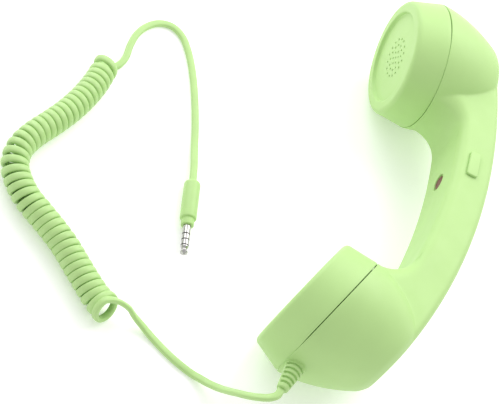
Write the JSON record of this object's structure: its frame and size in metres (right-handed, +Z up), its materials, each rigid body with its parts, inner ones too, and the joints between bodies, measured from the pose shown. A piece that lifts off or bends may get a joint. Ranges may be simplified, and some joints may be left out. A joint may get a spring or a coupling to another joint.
{
  "type": "corded telephone handset",
  "caption": "Retro arched telephone handset with round ear and mouth caps, answer button, volume slider, curly cord and small audio plug.",
  "frame": {"origin": "on the surface it lies on, under the middle of the handset's box, cord and plug left out", "axes": "+Z up, +Y along the handset from the mouth end to the ear end, -X towards the cap faces"},
  "size_m": [0.1927, 0.2307, 0.06],
  "materials": {
    "soft_touch_shell": "soft-touch matte",
    "soft_touch_cap": "soft-touch matte",
    "knob_green": "soft-touch matte",
    "cord_rubber": "smooth satin",
    "sheath_rubber": "smooth satin",
    "button_red": "satin",
    "stamped_steel": "zinc plated",
    "magnet_nickel": "nickel plated",
    "paper_cone": "matte",
    "foam": "open foam",
    "acoustic_cloth": "woven",
    "zinc_steel": "zinc plated",
    "capsule_can": "drawn can",
    "black_rubber": "moulded",
    "board_laminate": "solder mask",
    "screw_steel": "zinc plated",
    "switch_plastic": "moulded",
    "pot_body": "moulded",
    "wire_red": "insulation",
    "wire_blue": "insulation",
    "anchor_nylon": "moulded nylon",
    "contact_brass": "bright",
    "contact_metal": "nickel plated",
    "insulator_black": "moulded"
  },
  "bodies": {
    "handset": {"body_shell": "soft_touch_shell", "handle_inner_cover": "soft_touch_shell", "ear_cap": "soft_touch_cap", "mouth_cap": "soft_touch_cap", "speaker_frame": "stamped_steel", "speaker_magnet": "magnet_nickel", "speaker_cone": "paper_cone", "speaker_gasket": "foam", "ear_cloth": "acoustic_cloth", "mouth_cloth": "acoustic_cloth", "ear_weight": "zinc_steel", "mouth_weight": "zinc_steel", "microphone_capsule": "capsule_can", "microphone_boot": "black_rubber", "circuit_board": "board_laminate", "board_screws": "screw_steel", "answer_switch": "switch_plastic", "volume_pot": "pot_body", "speaker_wires": "wire_red", "microphone_wires": "wire_blue", "cord_anchor": "anchor_nylon", "strain_relief": "cord_rubber", "cord_lead_handset": "cord_rubber", "curly_cord": "cord_rubber", "cord_lead_plug": "cord_rubber", "plug_sheath": "sheath_rubber", "plug_core": "contact_brass", "plug_sleeve": "contact_metal", "plug_ring_mic": "contact_metal", "plug_ring_right": "contact_metal", "plug_tip": "contact_metal", "plug_insulators": "insulator_black"},
    "answer_button_body": {"answer_button": "button_red"},
    "volume_slider_body": {"volume_slider": "knob_green"}
  },
  "joints": [
    {"name": "answer_press", "type": "slide", "parent": "handset", "child": "answer_button_body", "axis": [0.9973, 0.0732, 0], "range_m": [0, 0.0006], "stiffness_N_per_m": 300, "springref_m": -0.0005},
    {"name": "volume_slide", "type": "slide", "parent": "handset", "child": "volume_slider_body", "axis": [-0.0889, 0.996, 0], "range_m": [-0.003, 0.003]}
  ]
}
